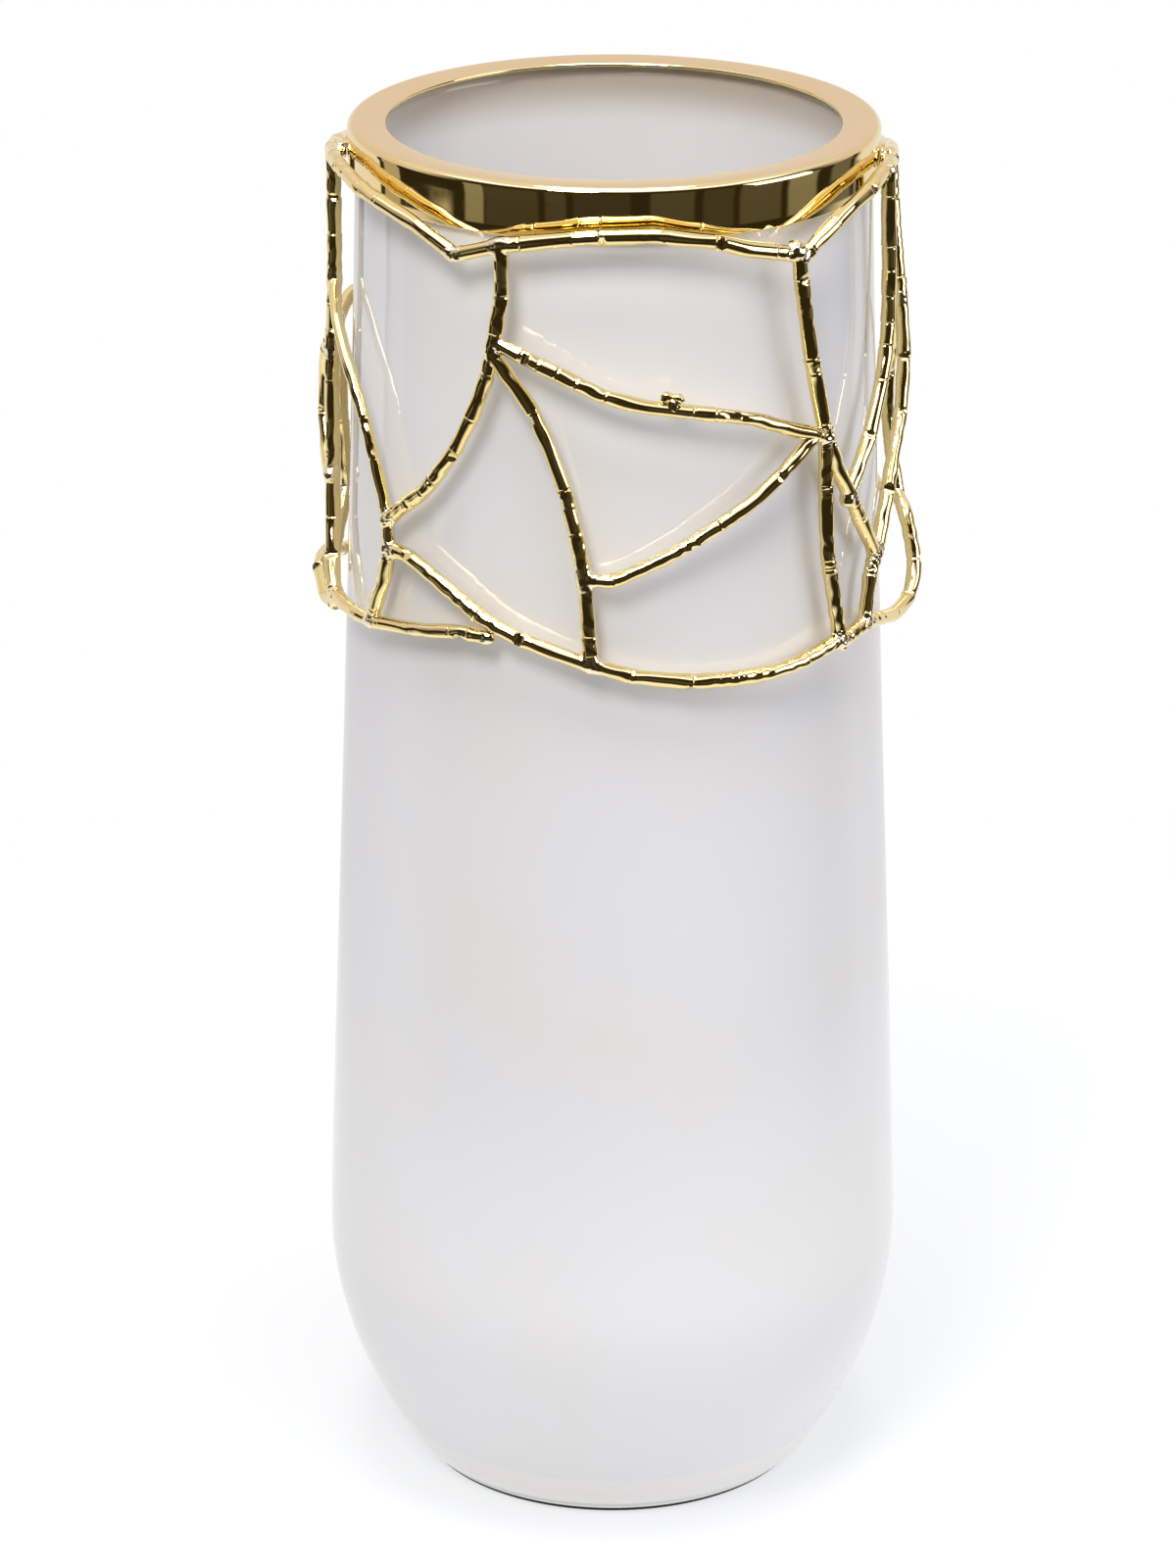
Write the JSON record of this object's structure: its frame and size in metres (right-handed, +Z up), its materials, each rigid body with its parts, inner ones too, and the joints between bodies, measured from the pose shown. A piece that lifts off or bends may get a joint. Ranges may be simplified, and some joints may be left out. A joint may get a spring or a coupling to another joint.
{
  "type": "vase",
  "caption": "Tall round glazed porcelain vase with a full belly low down, a gilt rim collar and a cage of gilt twigs soldered round its upper third.",
  "frame": {"origin": "centre of the underside of the base pad, on the vase's axis", "axes": "+Z up along the vase's axis to the mouth; -Y is the front, where the lower cross twig and the front stem meet; +X is to the right of someone facing the front"},
  "size_m": [0.1717, 0.1654, 0.4],
  "materials": {
    "white_glaze": "high-gloss white glaze",
    "gold_plate": "mirror-polished pale gold plating on cast metal",
    "clear_adhesive": "cured translucent adhesive, hidden",
    "black_felt": "thin black felt pad"
  },
  "bodies": {
    "root": {"back_left_brace": "gold_plate", "back_left_cross": "gold_plate", "back_left_upright": "gold_plate", "back_right_brace": "gold_plate", "back_right_cross": "gold_plate", "back_right_upright": "gold_plate", "back_stem": "gold_plate", "base_pad": "black_felt", "collar_glue_bed": "clear_adhesive", "front_left_upright": "gold_plate", "front_right_leg": "gold_plate", "front_right_upright": "gold_plate", "front_stem": "gold_plate", "hem_back": "gold_plate", "hem_back_left": "gold_plate", "hem_back_right": "gold_plate", "hem_front": "gold_plate", "hem_left": "gold_plate", "hem_right": "gold_plate", "left_bow_twig": "gold_plate", "left_brace": "gold_plate", "left_leg": "gold_plate", "left_rear_cross": "gold_plate", "left_rear_twig": "gold_plate", "left_upright": "gold_plate", "lower_cross_twig": "gold_plate", "lug_back": "gold_plate", "lug_left": "gold_plate", "lug_right": "gold_plate", "right_rear_twig": "gold_plate", "right_stem": "gold_plate", "right_upright": "gold_plate", "rim_collar": "gold_plate", "rim_twig_back": "gold_plate", "rim_twig_back_left": "gold_plate", "rim_twig_back_right": "gold_plate", "rim_twig_front": "gold_plate", "rim_twig_left": "gold_plate", "rim_twig_right": "gold_plate", "twig_bud": "gold_plate", "upper_cross_twig": "gold_plate", "vase_body": "white_glaze"}
  },
  "joints": []
}
